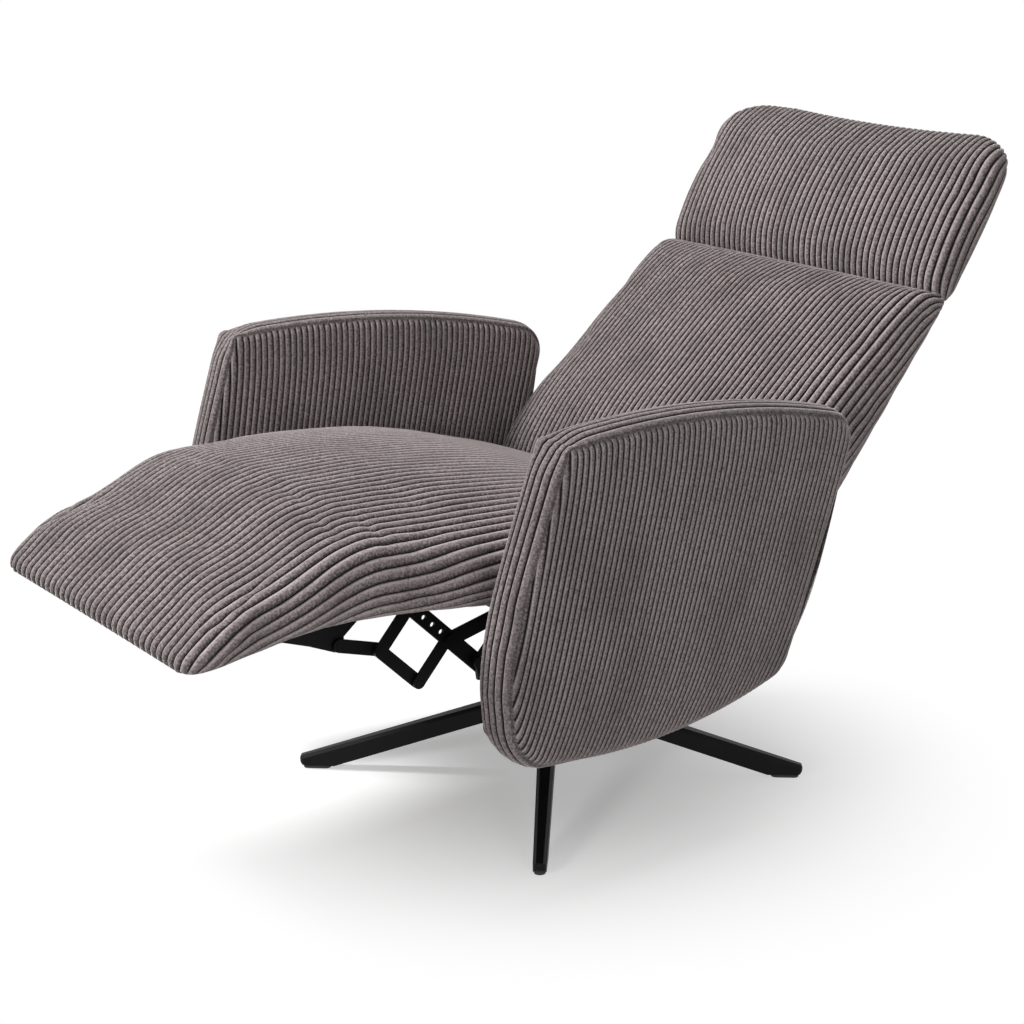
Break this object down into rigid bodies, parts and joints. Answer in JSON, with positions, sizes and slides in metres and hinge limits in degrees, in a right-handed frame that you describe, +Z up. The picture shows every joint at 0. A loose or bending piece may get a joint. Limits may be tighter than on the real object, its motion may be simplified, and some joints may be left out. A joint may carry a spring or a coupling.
{
  "type": "recliner armchair",
  "caption": "Upholstered swivel recliner armchair on a star base, with a reclining back, tilting headrest and a fold-out footrest on a link mechanism.",
  "frame": {"origin": "on the floor, under the swivel axis", "axes": "+Z up along the swivel axis, +X towards the sitter's left arm, +Y towards the back, so the sitter faces -Y"},
  "size_m": [0.777, 1.1831, 0.8202],
  "materials": {
    "corduroy": "wide-wale corduroy with a soft nap",
    "webbing": "woven elastic webbing",
    "black_steel": "satin black powder coat",
    "zinc_steel": "zinc plated steel",
    "plywood": "raw plywood",
    "black_plastic": "matt black glide"
  },
  "bodies": {
    "base": {"base_hub": "black_steel", "leg_front_left": "black_steel", "leg_front_right": "black_steel", "leg_rear_left": "black_steel", "leg_rear_right": "black_steel", "foot_glides": "black_plastic", "leg_bolts": "zinc_steel", "swivel_post": "zinc_steel", "post_clip": "zinc_steel", "lower_race": "zinc_steel", "bearing_balls": "zinc_steel"},
    "chassis": {"upper_race": "zinc_steel", "swivel_plate": "black_steel", "front_cross_tube": "black_steel", "rear_cross_tube": "black_steel", "plate_bolts": "zinc_steel", "side_plates": "black_steel", "link_cross_tube": "zinc_steel", "hanger_rails": "black_steel", "hanger_rivets": "black_steel", "seat_side_rails": "plywood", "seat_rear_rail": "plywood", "seat_front_board": "plywood", "seat_springs": "zinc_steel", "seat_cushion": "corduroy", "seat_hinge_leaves": "zinc_steel", "foot_hinge_pin": "zinc_steel", "arm_cores": "plywood", "arm_flanges": "black_steel", "arm_bolts": "zinc_steel", "arm_upholstery_left": "corduroy", "arm_upholstery_right": "corduroy"},
    "footrest": {"foot_hinge_leaf": "zinc_steel", "foot_board": "plywood", "foot_brackets": "black_steel", "foot_bracket_rivets": "black_steel", "foot_cushion": "corduroy"},
    "front_crank": {"front_cranks": "black_steel", "front_crank_rivets": "black_steel"},
    "rear_crank": {"rear_cranks": "black_steel", "rear_crank_rivets": "black_steel"},
    "coupler": {"coupler_links": "black_steel"},
    "drag": {"drag_links": "black_steel"},
    "backrest": {"torque_tube": "black_steel", "back_pivot_pins": "zinc_steel", "back_hinge_plates": "black_steel", "back_posts": "plywood", "back_upper_rail": "plywood", "back_webbing": "webbing", "back_rear_panel": "corduroy", "back_cushion": "corduroy", "head_hinge_lower": "zinc_steel"},
    "strut_tube": {"strut_cylinder": "black_steel"},
    "strut_piston": {"strut_rod": "zinc_steel"},
    "headrest": {"head_hinge_upper": "zinc_steel", "head_hinge_pins": "zinc_steel", "head_board": "plywood", "head_rear_panel": "corduroy", "head_cushion": "corduroy"}
  },
  "joints": [
    {"name": "swivel", "type": "hinge", "parent": "base", "child": "chassis", "pos_m": [0, 0, 0.231], "axis": [0, 0, 1], "continuous": true},
    {"name": "recline", "type": "hinge", "parent": "chassis", "child": "backrest", "pos_m": [0, 0.14, 0.352], "axis": [1, 0, 0], "range_deg": [0, 28]},
    {"name": "headrest_tilt", "type": "hinge", "parent": "backrest", "child": "headrest", "pos_m": [0, 0.4109, 0.62932], "axis": [1, 0, 0], "range_deg": [0, 30]},
    {"name": "footrest_fold", "type": "hinge", "parent": "chassis", "child": "footrest", "pos_m": [0, -0.372, 0.347], "axis": [1, 0, 0], "range_deg": [0, 75]},
    {"name": "front_crank_turn", "type": "hinge", "parent": "chassis", "child": "front_crank", "pos_m": [0, -0.322, 0.333], "axis": [1, 0, 0], "range_deg": [-1, 76]},
    {"name": "rear_crank_turn", "type": "hinge", "parent": "chassis", "child": "rear_crank", "pos_m": [0, -0.27, 0.284], "axis": [1, 0, 0], "range_deg": [-1, 76]},
    {"name": "coupler_turn", "type": "hinge", "parent": "front_crank", "child": "coupler", "pos_m": [0, -0.362, 0.287], "axis": [1, 0, 0], "range_deg": [-76, 1]},
    {"name": "drag_turn", "type": "hinge", "parent": "front_crank", "child": "drag", "pos_m": [0, -0.362, 0.287], "axis": [1, 0, 0], "range_deg": [-76, 1]},
    {"name": "strut_swing", "type": "hinge", "parent": "chassis", "child": "strut_tube", "pos_m": [0, -0.06, 0.3], "axis": [1, 0, 0], "range_deg": [-2, 3]},
    {"name": "strut_slide", "type": "slide", "parent": "strut_tube", "child": "strut_piston", "axis": [0, 0.996, -0.0896], "range_m": [-0.002, 0.036]}
  ],
  "couplings": [
    {"joint": "front_crank_turn", "follows": "footrest_fold", "ratio": 1},
    {"joint": "rear_crank_turn", "follows": "footrest_fold", "ratio": 1},
    {"joint": "coupler_turn", "follows": "footrest_fold", "ratio": -1},
    {"joint": "drag_turn", "follows": "footrest_fold", "ratio": -1},
    {"joint": "strut_swing", "follows": "recline", "ratio": 0.088},
    {"joint": "strut_slide", "follows": "recline", "m_per_rad": 0.067}
  ]
}
